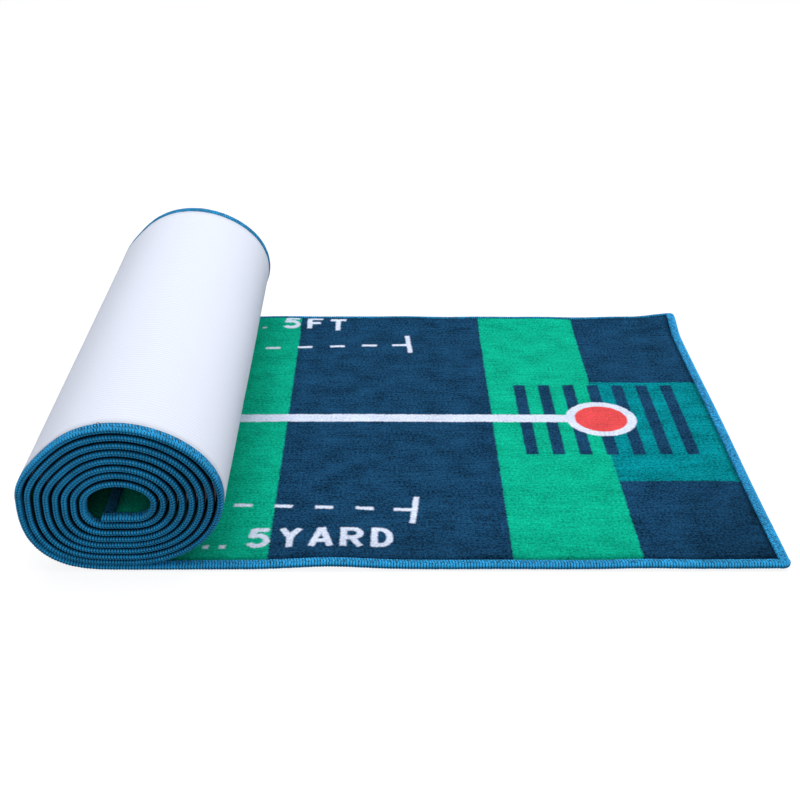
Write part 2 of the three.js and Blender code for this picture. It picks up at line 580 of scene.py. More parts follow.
def glyph(letter: str, x: float, y: float, width: float, height: float) -> list[Bar | Bow]:
    """The strokes of one plain figure or letter, drawn in a box 19 by 29 and scaled to its place.

    Args:
        letter: one of 5, Y, A, R, D, F and T.
        x: left side of the figure on the mat.
        y: its foot.
        width: its width over the strokes.
        height: its height over the strokes.

    Returns:
        Straight and curved strokes in millimetres on the mat.
    """
    bars = {
        "5": [(17, 26.25, 3.2, 26.25), (4.6, 27, 3.4, 14.6)],
        "Y": [(2.2, 28.3, 9.5, 14.5), (16.8, 28.3, 9.5, 14.5), (9.5, 15.5, 9.5, 0)],
        "A": [(2.2, 0, 9.0, 28.6), (16.8, 0, 10.0, 28.6), (4.6, 8.4, 14.4, 8.4)],
        "R": [(3, 0, 3, 29), (3, 26.25, 11, 26.25), (3, 13.4, 11, 13.4), (9.6, 13, 16.6, 0)],
        "D": [(3, 0, 3, 29), (3, 26.25, 8.5, 26.25), (3, 2.75, 8.5, 2.75)],
        "F": [(3, 0, 3, 29), (3, 26.25, 18, 26.25), (3, 14.5, 15.5, 14.5)],
        "T": [(0.6, 26.25, 18.4, 26.25), (9.5, 26, 9.5, 0)],
    }
    bows = {
        "5": [(8.4, 10.2, 7.6, 7.6, -152, 132)],
        "R": [(10.6, 19.85, 5.6, 6.4, -95, 95)],
        "D": [(8.5, 14.5, 7.6, 11.75, -92, 92)],
    }
    kx, ky = width / GLYPH_WIDTH, height / GLYPH_HEIGHT
    made: list[Bar | Bow] = []
    for a, b, c, d in bars[letter]:
        stroke = STROKE * (ky if b == d else 1)
        made.append(Bar(x + kx * a, y + ky * b, x + kx * c, y + ky * d, stroke))
    for cx, cy, rx, ry, start, end in bows.get(letter, []):
        stroke = STROKE * (1 + ky) / 2
        made.append(Bow(x + kx * cx, y + ky * cy, kx * rx, ky * ry, start, end, stroke))
    return made


@dataclass(frozen=True)
class Print:
    """The picture printed on the pile, as signed distances in millimetres, positive inside each field.

    X here is measured along the mat from the same zero as the frame's X, so that it goes on into the roll.
    """

    band_end: float = 192.7
    band_width: float = 107.2
    band_pitch: float = 309.8
    last_band_end: float = -2500.0
    target_x: float = 193.7
    target_y: float = 2.4
    ring: float = 35.0
    spot: float = 26.0
    line_half: float = 7.6
    line_y: float = 2.9
    dash: float = 16.0
    dash_width: float = 4.8
    dash_pitch: float = 35.5
    dash_count: int = 69
    dash_middle: float = -3.0  # one pitch beyond the first dash's middle
    dash_zero: float = -9.5  # X at which the dashed lines have their first Y
    dash_lines: tuple[tuple[float, float], ...] = ((173.1, 0.054), (-164.7, -0.054))  # first Y and slope
    teal_y: float = -17.4
    teal_half: float = 99.0
    bar_count: int = 7
    bar_x: float = 118.5
    bar_pitch: float = 25.42
    bar_half: float = 6.0
    bar_y: float = 3.4
    bar_reach: float = 71.8
    foot: float = -223.4  # of the near figures
    dot: float = 5.0
    marks: tuple[tuple[float, float, float, float, float], ...] = (
        (-13.5, 172.6, 5, 174.0, 4.8), (3.5, 198.1, 6.5, 153.6, 5.0),
        (-12.5, -164.4, 5, -165.6, 4.8), (7.5, -143.9, 3.0, -186.4, 5.0),
    )
    near_figures: tuple[tuple[str, float, float], ...] = (
        ("5", -136, 19), ("Y", -110, 19), ("A", -84.5, 20.5), ("R", -58.5, 20), ("D", -32.5, 19),
    )
    far_figures: tuple[tuple[str, float, float, float], ...] = (
        ("5", -136.5, 214.6, 21.9), ("F", -110.5, 214.7, 21.3), ("T", -84.5, 210.2, 23.5),
    )
    dots: tuple[tuple[float, float, float], ...] = (
        (-156, -221.9, 5.0), (-170, -221.9, 5.0), (-158.5, 216.0, 2.8), (-172.5, 216.0, 2.8),
    )
    stroke_reach: float = 40.0  # a stroke is worked out only this near to it
    held: float = 12.0  # distances stop growing here

    def dashes(self) -> list[Bar | Bow]:
        """The two dashed lines, which close in on the middle line towards the mat's inner end.

        Returns:
            A bar for each dash.
        """
        made: list[Bar | Bow] = []
        for start_y, slope in self.dash_lines:
            for k in range(1, self.dash_count + 1):
                x = self.dash_middle - self.dash_pitch * k
                y = start_y + slope * (x - self.dash_zero)
                rise = slope * self.dash / 2
                made.append(Bar(x - self.dash / 2, y - rise, x + self.dash / 2, y + rise, self.dash_width))
        return made

    def strokes(self) -> list[Bar | Bow]:
        """The dashes, end marks, distance figures and dots on both sides of the middle line.

        Returns:
            Straight and curved strokes in millimetres on the mat.
        """
        made = self.dashes() + [Bar(*mark) for mark in self.marks]
        for letter, x, width in self.near_figures:
            made += glyph(letter, x, self.foot, width, GLYPH_HEIGHT)
        for letter, x, y, height in self.far_figures:
            made += glyph(letter, x, y, GLYPH_WIDTH, height)
        half = self.dot / 2
        return made + [Bar(x - half, y, x + half, y, width) for x, y, width in self.dots]

    def fields(self, x: np.ndarray, y: np.ndarray) -> dict[str, np.ndarray]:
        """Every printed field at places on the mat.

        Args:
            x: millimetres along the mat, on the frame's X continued into the roll.
            y: millimetres across it.

        Returns:
            Signed distance by field name, positive inside.
        """
        into = np.mod(self.band_end - x, self.band_pitch)
        middle = self.band_width / 2
        off = np.minimum(np.abs(into - middle), self.band_pitch - np.abs(into - middle))
        made = {"green": np.maximum(middle - off, self.last_band_end - x)}
        made["teal"] = -box_distance(self.band_end - x, np.abs(y - self.teal_y) - self.teal_half)
        bars = np.full(np.broadcast(x, y).shape, np.inf)
        for k in range(self.bar_count):
            beside = np.abs(x - self.bar_x - self.bar_pitch * k) - self.bar_half
            bars = np.minimum(bars, box_distance(beside, np.abs(y - self.bar_y) - self.bar_reach))
        made["bars"] = -bars
        ring = np.hypot(x - self.target_x, y - self.target_y)
        line = box_distance(x - self.target_x, np.abs(y - self.line_y) - self.line_half)
        white = np.minimum(ring - self.ring, line)
        for stroke in self.strokes():
            low, high = stroke.span
            near = (x > low - self.stroke_reach) & (x < high + self.stroke_reach)
            if near.any():
                white = np.where(near, np.minimum(white, stroke.distance(x, y)), white)
        made["white"] = -white
        made["red"] = self.spot - ring
        return {name: np.clip(value, -self.held, self.held) for name, value in made.items()}


# ---------------------------------------------------------------- colours and node helpers


def linear(colour: str) -> tuple[float, float, float, float]:
    """An sRGB hex colour as linear red, green and blue with full alpha."""
    values = [int(colour[k : k + 2], 16) / 255 for k in (1, 3, 5)]
    return tuple(v / 12.92 if v <= 0.04045 else ((v + 0.055) / 1.055) ** 2.4 for v in values) + (1.0,)


def node(tree: bpy.types.NodeTree, kind: str, inputs: dict | None = None, **settings) -> bpy.types.Node:
    """Adds a node with its settings, and fills its inputs with values or links.

    Args:
        tree: the material's node tree.
        kind: the node's type name without the words that all of them start with.
        inputs: value or output socket by input name or number.
        **settings: properties of the node.

    Returns:
        The node.
    """
    made = tree.nodes.new(f"ShaderNode{kind}")
    for key, value in settings.items():
        setattr(made, key, value)
    for key, value in (inputs or {}).items():
        if isinstance(value, bpy.types.NodeSocket):
            tree.links.new(value, made.inputs[key])
        else:
            made.inputs[key].default_value = value
    return made


def blank_material(name: str, **sockets) -> tuple[bpy.types.Material, bpy.types.NodeTree, bpy.types.Node]:
    """A new material with its shader's fixed values set on the shader itself.

    Args:
        name: name of the material.
        **sockets: value by shader socket name, with _ for a space.

    Returns:
        The material, its node tree and its shader node.
    """
    material = bpy.data.materials.new(name)
    material.use_nodes = True
    tree = material.node_tree
    tree.nodes.clear()
    shader = node(tree, "BsdfPrincipled")
    for key, value in sockets.items():
        shader.inputs[key.replace("_", " ")].default_value = value
    output = node(tree, "OutputMaterial")
    tree.links.new(shader.outputs[0], output.inputs[0])
    return material, tree, shader


class PrintedVelvet:
    """Short polyester pile, heat-printed: soft fuzzy borders, streaks along the nap, grain of the fibre tips.

    It is matt with no highlight, because the fibre tips stand on end. The tufts and bundles are drawn coarser
    than real fibres, so that they show.
    """

    NAVY, GREEN, TEAL, WHITE, RED = "#173F5F", "#0BAB89", "#04818A", "#D8E1F6", "#E44F51"
    TUFT_MM = 2.3  # clumps of fibre tips
    FIBRE_MM = 0.8  # single bundles
    CREEP_MM = 7.0  # how far apart the print's border wavers
    FUZZ_MM = 1.1  # half the width of a print border
    SHAKE = 0.3  # how strongly the tufts and the waver move a border
    GRAIN, TONE = 0.75, 0.34  # how much lighter or darker single tufts and whole patches are

    def build(self) -> bpy.types.Material:
        """Mixes the dyes by the piece's print attributes, and shades them by noise on its UV in metres.

        Returns:
            The material.
        """
        material, tree, shader = blank_material(
            "printed_polyester_velvet", Roughness=0.95, IOR=1.46, Sheen_Weight=0.05, Sheen_Roughness=0.5
        )
        add = partial(node, tree)
        shader.inputs["Sheen Tint"].default_value = linear("#7FB8D8")
        shader.inputs["Specular IOR Level"].default_value = 0.0
        uv = add("UVMap", uv_map="UVMap").outputs[0]
        mm = add("Mapping", {0: uv, "Scale": (1000, 1000, 1)}).outputs[0]
        along = add("Mapping", {0: mm, "Scale": (0.03, 0.5, 1)}).outputs[0]
        grains = {}
        for name, place, scale, detail in (
            ("tuft", mm, 1 / self.TUFT_MM, 2.0),
            ("fibre", mm, 1 / self.FIBRE_MM, 1.0),
            ("creep", mm, 1 / self.CREEP_MM, 2.0),
            ("streak", along, 1.0, 3.0),
            ("patch", mm, 0.04, 3.0),
        ):
            inputs = {"Vector": place, "Scale": scale, "Detail": detail}
            grains[name] = add("TexNoise", inputs, noise_dimensions="2D").outputs[0]
        inputs = {0: grains["creep"], 1: 4.5, 2: -3.5}
        waver = add("Math", inputs, operation="MULTIPLY_ADD")
        inputs = {0: grains["tuft"], 1: 2.5, 2: waver.outputs[0]}
        shake = add("Math", inputs, operation="MULTIPLY_ADD").outputs[0]
        base = linear(self.NAVY)
        for field, hexcode in (
            ("green", self.GREEN),
            ("teal", self.TEAL),
            ("bars", self.NAVY),
            ("white", self.WHITE),
            ("red", self.RED),
        ):
            inside = add("Attribute", attribute_name=field).outputs["Fac"]
            inputs = {0: shake, 1: self.SHAKE, 2: inside}
            shaken = add("Math", inputs, operation="MULTIPLY_ADD").outputs[0]
            inputs = {"Value": shaken, "From Min": -self.FUZZ_MM, "From Max": self.FUZZ_MM}
            mask = add("MapRange", inputs, interpolation_type="SMOOTHSTEP").outputs[0]
            inputs = {0: mask, 6: base, 7: linear(hexcode)}
            base = add("Mix", inputs, data_type="RGBA").outputs[2]
        grain = add("Mix", {0: 0.5, 2: grains["fibre"], 3: grains["tuft"]}).outputs[0]
        tone = add("Mix", {0: 0.5, 2: grains["streak"], 3: grains["patch"]}).outputs[0]
        # bright dyes hide the shadows between the fibres, dark ones show them
        dye = add("SeparateColor", {0: base}, mode="HSV").outputs[2]
        inputs = {"Value": dye, "From Min": 0.12, "From Max": 0.6, "To Min": 1.3, "To Max": 0.35}
        depth = add("MapRange", inputs).outputs[0]
        middle = {"From Min": 0.3, "From Max": 0.7}
        inputs = {"Value": grain, **middle, "To Min": -self.GRAIN, "To Max": self.GRAIN}
        light = add("MapRange", inputs).outputs[0]
        inputs = {"Value": tone, **middle, "To Min": -self.TONE, "To Max": self.TONE}
        band = add("MapRange", inputs).outputs[0]
        both = add("Math", {0: light, 1: band}, operation="ADD").outputs[0]
        value = add("Math", {0: both, 1: depth, 2: 1.0}, operation="MULTIPLY_ADD").outputs[0]
        # painted shade: the attribute darkens the dye by the edging, in the eye, under the roll and at the
        # near corner
        painted_shade = add("Attribute", attribute_name="painted_shade").outputs["Fac"]
        value = add("Math", {0: value, 1: painted_shade}, operation="MULTIPLY").outputs[0]
        dyed = add("VectorMath", {0: base, 1: value}, operation="MULTIPLY").outputs[0]
        tree.links.new(dyed, shader.inputs["Base Color"])
        bump = add("Bump", {"Height": grain, "Strength": 0.35, "Distance": 0.0009}).outputs[0]
        tree.links.new(bump, shader.inputs["Normal"])
        return material


class RibbedBacking:
    """Woven backing cloth with a thin latex coat: cool white and matt, with fine ribs along the mat."""

    CLOTH, SHADE = "#ECF0FC", "#DDE3F3"
    RIB_MM = 3.8  # pitch of the ribs along the mat, each of several threads
    PICK_MM = 0.9  # pitch of the threads across it

    def build(self) -> bpy.types.Material:
        """Draws ribs and cross threads as sine waves on the piece's UV in metres, bent by a slow noise.

        Returns:
            The material.
        """
        material, tree, shader = blank_material(
            "ribbed_latex_backed_cloth", Roughness=0.9, IOR=1.5, Sheen_Weight=0.03, Sheen_Roughness=0.5
        )
        add = partial(node, tree)
        shader.inputs["Specular IOR Level"].default_value = 0.05
        uv = add("UVMap", uv_map="UVMap").outputs[0]
        split = add("SeparateXYZ", {0: uv})
        mm = add("Mapping", {0: uv, "Scale": (1000, 1000, 1)}).outputs[0]
        drift, grain = (
            add("TexNoise", {"Vector": mm, "Scale": scale, "Detail": 2.0}, noise_dimensions="2D").outputs[0]
            for scale in (0.06, 0.9)
        )
        bend = add("Math", {0: drift, 1: 5.0}, operation="MULTIPLY").outputs[0]
        waves = []
        for axis, pitch in (("Y", self.RIB_MM), ("X", self.PICK_MM)):
            inputs = {0: split.outputs[axis], 1: 2 * math.pi / (pitch * MM), 2: bend}
            phase = add("Math", inputs, operation="MULTIPLY_ADD").outputs[0]
            waves.append(add("Math", {0: phase}, operation="SINE").outputs[0])
        inputs = {0: waves[1], 1: 0.25, 2: waves[0]}
        rib = add("Math", inputs, operation="MULTIPLY_ADD").outputs[0]
        height = add("Math", {0: grain, 1: 1.2, 2: rib}, operation="MULTIPLY_ADD").outputs[0]
        tone = add("MapRange", {"Value": height, "From Min": -1.0, "From Max": 2.0}).outputs[0]
        inputs = {0: tone, 6: linear(self.SHADE), 7: linear(self.CLOTH)}
        mix = add("Mix", inputs, data_type="RGBA")
        tree.links.new(mix.outputs[2], shader.inputs["Base Color"])
        bump = add("Bump", {"Height": height, "Strength": 0.35, "Distance": 0.00012}).outputs[0]
        tree.links.new(bump, shader.inputs["Normal"])
        return material


class SergedYarn:
    """Twisted polyester yarn, machine-serged: bright on each thread's crown, with painted shade between them.
    """

    # VALLEY is painted shade between the threads; the yarn tail also uses it for its dark flecks
    CROWN, VALLEY = "#29A4E2", "#03141E"

    def build(self) -> bpy.types.Material:
        """Makes the material from the piece's own attributes.

        The attribute "turn" counts the threads, "knit" is 1 where the threads cross over each other on top
        and underneath, and the shade attribute is painted shade: dark where two turns press together, in
        the seam between the rows of loops and on the inner end in the eye.

        Returns:
            The material.
        """
        material, tree, shader = blank_material(
            "serged_polyester_yarn", Roughness=0.6, IOR=1.5, Sheen_Weight=0.04, Sheen_Roughness=0.4
        )
        add = partial(node, tree)
        shader.inputs["Specular IOR Level"].default_value = 0.12
        place = add("TexCoord").outputs["Object"]
        inputs = {"Vector": place, "Scale": 1300.0, "Detail": 2.0}
        filament = add("TexNoise", inputs).outputs[0]
        dye = add("TexNoise", {"Vector": place, "Scale": 60.0, "Detail": 1.0}).outputs[0]
        skip = add("TexNoise", {"Vector": place, "Scale": 420.0, "Detail": 1.0}).outputs[0]
        turn, knit, painted_shade = (
            add("Attribute", attribute_name=name).outputs["Fac"]
            for name in ("turn", "knit", "painted_shade")
        )
        angle = add("Math", {0: turn, 1: math.pi, 2: skip}, operation="MULTIPLY_ADD").outputs[0]
        wave = add("Math", {0: angle}, operation="COSINE").outputs[0]
        crown = add("Math", {0: wave}, operation="ABSOLUTE").outputs[0]
        lit = add("Math", {0: filament, 1: 0.75, 2: crown}, operation="MULTIPLY_ADD").outputs[0]
        inputs = {"Value": lit, "From Min": 0.45, "From Max": 1.05}
        mask = add("MapRange", inputs, interpolation_type="SMOOTHSTEP").outputs[0]
        # painted shade: the valleys between the threads are painted near-black
        inputs = {0: mask, 6: linear(self.VALLEY), 7: linear(self.CROWN)}
        yarn = add("Mix", inputs, data_type="RGBA").outputs[2]
        inputs = {"Value": dye, "From Min": 0.3, "From Max": 0.7, "To Min": 0.88, "To Max": 1.12}
        lot = add("MapRange", inputs).outputs[0]
        inputs = {"Vector": place, "Scale": 520.0, "Detail": 2.0}
        crossing = add("TexNoise", inputs).outputs[0]
        inputs = {"Value": crossing, "From Min": 0.38, "From Max": 0.6, "To Min": 0.4, "To Max": 1.15}
        over = add("MapRange", inputs).outputs[0]
        crossed = add("Mix", {0: knit, 2: 1.0, 3: over}).outputs[0]
        lot = add("Math", {0: lot, 1: crossed}, operation="MULTIPLY").outputs[0]
        # painted shade from the piece's attribute
        lot_and_painted_shade = add("Math", {0: lot, 1: painted_shade}, operation="MULTIPLY").outputs[0]
        dyed = add("VectorMath", {0: yarn, 1: lot_and_painted_shade}, operation="MULTIPLY").outputs[0]
        tree.links.new(dyed, shader.inputs["Base Color"])
        bump = add("Bump", {"Height": lit, "Strength": 0.35, "Distance": 0.0003}).outputs[0]
        tree.links.new(bump, shader.inputs["Normal"])
        return material


# ---------------------------------------------------------------- the mat's pieces


BLEND_INSET = 1.5  # how far inside a bending length's ends its two unused end points lie
MIDDLE_DEPTH = 2.8


def attach(piece: bpy.types.Object, reach: Reach, path: MatPath, stands_for: list[str]) -> None:
    """Makes a piece ride on its body and stand for its CAD nodes; one that crosses a hinge stays fixed.

    A bending length's ends are at the middles of its two bodies' lengths. Points just inside them are worked
    out but not used, and the piece stays fixed where it lies.

    Args:
        piece: the finished piece.
        reach: the length of mat that it belongs to.
        path: the path of the mat.
        stands_for: names of the CAD nodes that it replaces.
    """
    if reach.bends:
        run = np.array([reach.start + BLEND_INSET, reach.end - BLEND_INSET])
        ends = path.place(run, np.array(MIDDLE_DEPTH), np.array(0.0))
        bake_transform(piece)
    else:
        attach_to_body(piece, reach.bodies[0])
    if stands_for:
        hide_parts(*stands_for)


class Cloth:
    """One of the two cloths of the mat, as closed slabs with a fine face and a plain back."""

    BACK_COLUMNS = 29
    LIP = 0.15  # a narrow last row, so that shading runs on from one length to the next
    CORNER_ROWS = 6
    CORNER_START = 0.02  # past the corner's very end, where the cloth has no width left to round
    RIM = 7.0  # width of the strip that the serging pulls down
    RIM_SINK = 1.2
    TUFT, NAP, SLACK = 0.16, 0.12, 0.12  # heights of the unevenness of the pile and of the backing
    SLACK_FROM = 25.0
    # grid steps along and across: the backing, the pile inside the roll and the pile that shows
    BACKING_STEPS, ROLLED_STEPS, OPEN_STEPS = (2.0, 10.0), (3.0, 4.8), (1.5, 1.5)
    # painted shade: where the pile is painted darker, and by how much
    EYE_ON, EYE_OFF = (7.0, 7.25), (7.75, 7.95)  # turns between which the pile lies deep in the eye
    UNDER_ROLL = (150.0, 40.0)  # before the line where the mat leaves the floor
    CORNER_X, CORNER_Y = (190.0, 300.0), (60.0, 200.0)
    NEAR_STRIP = (190.0, 238.0)
    RIM_DARK, EYE_DARK, UNDER_DARK, CORNER_DARK, NEAR_DARK = 0.5, 0.85, 0.18, 0.28, 0.14

    def __init__(self, size: MatSize, path: MatPath, layer: Layer, material: bpy.types.Material) -> None:
        """Keeps what the cloth is made from.

        Args:
            size: the mat's dimensions.
            path: the path of the mat.
            layer: pile or backing.
            material: its finish.
        """
        self.size, self.path, self.layer, self.material = size, path, layer, material
        self.picture = Print()
        self.tufts = ValueNoise(11, 1.7)
        self.nap = ValueNoise(13, 6.0)
        self.slack = ValueNoise(17, 45.0, 70.0)

    def steps(self, reach: Reach) -> tuple[float, float]:
        """Chooses the grid: fine where the pile shows, coarse where it is rolled up.

        Args:
            reach: the length of mat.

        Returns:
            Steps along and across the mat, in millimetres.
        """
        if self.layer is Layer.BACKING:
            return self.BACKING_STEPS
        if reach.rolled:
            return self.ROLLED_STEPS
        return self.OPEN_STEPS

    def extent(self, reach: Reach) -> tuple[float, float]:
        """Where the cloth starts and ends on a length, short of the edging at both ends of the mat."""
        border = self.size.edging_width + self.size.gap
        return max(reach.start, border), min(reach.end, self.path.length - border)

    def half_width_at(self, run: np.ndarray) -> np.ndarray:
        """The cloth's outline, which follows a round corner at the free end.

        Args:
            run: millimetres along the mat.

        Returns:
            Half the cloth's width there, in millimetres.
        """
        s = self.size
        radius = s.corner_radius - s.edging_width - s.gap
        into = np.clip(run - s.edging_width - s.gap, 0, radius)
        return s.cloth_half - (radius - np.sqrt(radius**2 - (radius - into) ** 2))

    def rim(self, run: np.ndarray, y: np.ndarray) -> np.ndarray:
        """How near a place is to the edging, where the serging pulls the pile down.

        Args:
            run: millimetres along the mat.
            y: millimetres across it.

        Returns:
            1 beside the edging, falling to 0 at the strip's inner side.
        """
        s = self.size
        edge = np.minimum(s.cloth_half - np.abs(y), run - s.edging_width - s.gap)
        edge = np.minimum(edge, self.path.length - s.edging_width - s.gap - run)
        return 1 - smoothstep(edge, 0.0, self.RIM)

    def face(self, run: np.ndarray, y: np.ndarray, thick: np.ndarray) -> np.ndarray:
        """Depth of the showing face. The pile's stands below the edging, sinks beside it and is uneven.

        The backing's face is the outer one, with a little slack between the seams.

        Args:
            run: millimetres along the mat.
            y: millimetres across it.
            thick: the mat's thickness there.

        Returns:
            Millimetres from the backing's outer face.
        """
        s = self.size
        if self.layer is Layer.BACKING:
            slack = self.SLACK * (1 + self.slack.at(run, y))
            return slack * smoothstep(s.cloth_half - np.abs(y), 0, self.SLACK_FROM)
        uneven = self.TUFT * self.tufts.at(run, y) + self.NAP * self.nap.at(run, y)
        return thick - s.pile_below + uneven - self.RIM_SINK * self.rim(run, y) ** 1.5

    def back(self, thick: np.ndarray) -> np.ndarray:
        """Depth of the hidden face, which lies against the other cloth."""
        share = self.size.backing_share * thick
        return share if self.layer is Layer.BACKING else share + self.size.gap

    def rows(self, reach: Reach) -> np.ndarray:
        """Where the rings of a length stand: evenly, closer round the corner, with a lip at both cut ends.

        Args:
            reach: the length of mat.

        Returns:
            Millimetres along the mat, as a column.
        """
        s = self.size
        first, last = self.extent(reach)
        run = spaced(first, last, self.steps(reach)[0])
        lip = run[:1] + self.LIP
        if reach.start == 0:
            radius = s.corner_radius - s.edging_width - s.gap
            turn = np.linspace(0, np.pi / 2, self.CORNER_ROWS + 1)[:-1]
            run = np.concatenate([first + radius * (1 - np.cos(turn)), run[run > first + radius]])
            run[0] += self.CORNER_START
            lip = run[:0]
        return np.concatenate([run[:1], lip, run[1:-1], run[-1:] - self.LIP, run[-1:]])[:, None]

    def painted_shade(self, run: np.ndarray, y: np.ndarray) -> np.ndarray:
        """Painted shade on the pile: darker by the edging, in the eye, under the roll and at the near corner.

        Args:
            run: millimetres along the mat.
            y: millimetres across it.

        Returns:
            Share of the dye's brightness that the painted shade leaves.
        """
        x = self.size.free_end_x - run
        on, off = (map(self.path.run_after, turns) for turns in (self.EYE_ON, self.EYE_OFF))
        eye = self.EYE_DARK * smoothstep(run, *on) * (1 - smoothstep(run, *off))
        under = self.UNDER_DARK * smoothstep(run, *(self.path.flat_run - before for before in self.UNDER_ROLL))
        corner = self.CORNER_DARK * smoothstep(-y, *self.CORNER_Y) * smoothstep(x, *self.CORNER_X)
        corner = corner + self.NEAR_DARK * smoothstep(-y, *self.NEAR_STRIP)
        return (1 - self.RIM_DARK * self.rim(run, y)) * (1 - eye) * (1 - under) * (1 - corner)

    def build(self, reach: Reach) -> bpy.types.Object:
        """Makes one length of the cloth: its face on a grid and its plain back, both placed along the path.

        Args:
            reach: the length of mat.

        Returns:
            The piece, dressed and riding on its body, or fixed in place where it crosses a hinge.
        """
        run = self.rows(reach)
        share = spaced(-1, 1, self.steps(reach)[1] / self.size.cloth_half)
        y_face = share[None, :] * self.half_width_at(run)
        y_back = np.linspace(1, -1, self.BACK_COLUMNS)[None, :] * self.half_width_at(run)
        thick = self.path.station(run[:, 0])[2][:, None]
        y = np.concatenate([y_face, y_back], 1)
        back = np.repeat(self.back(thick), self.BACK_COLUMNS, 1)
        depth = np.concatenate([self.face(run, y_face, thick), back], 1)
        rings = self.path.place(run, depth, y)
        uv = np.stack(np.broadcast_arrays(run * MM, y * MM), -1)
        fields = {}
        if self.layer is Layer.PILE:
            fields = self.picture.fields(self.size.free_end_x - run, y)
            fields = {name: np.broadcast_to(values, y.shape) for name, values in fields.items()}
            # painted shade on the pile
            fields["painted_shade"] = self.painted_shade(run, y)
        kind = "printed_pile" if self.layer is Layer.PILE else "ribbed_backing"
        piece = tube_mesh(f"{kind}_{reach.name}", rings, fields, uv)
        piece.data.materials.append(self.material)
        attach(piece, reach, self.path, [f"{group}_{self.layer.value}" for group in reach.stands_for])
        log.info("%s: %d faces", piece.name, len(piece.data.polygons))
        return piece


@dataclass(frozen=True)
class Stitch:
    """The serging: threads wrap the edge at an even pitch and lock in two rows of loops on its side."""

    pitch: float = 2.4
    rings: int = 6  # for each thread
    ridge: float = 0.22
    loop: float = 0.5
    slant: float = 1.1  # threads by which one is later at the seam than on top
    side_slant: float = 0.55
    lower_lag: float = 0.3
    under_share: float = 0.3
    roundness: float = 0.8
    sunk: float = 0.75
    uneven: float = 0.12
    sway: float = 0.12


class Face(IntEnum):
    """The face of the edging that a point of its section is on."""

    TOP = 0
    UPPER_LOOPS = 1
    LOWER_LOOPS = 2
    UNDER = 3


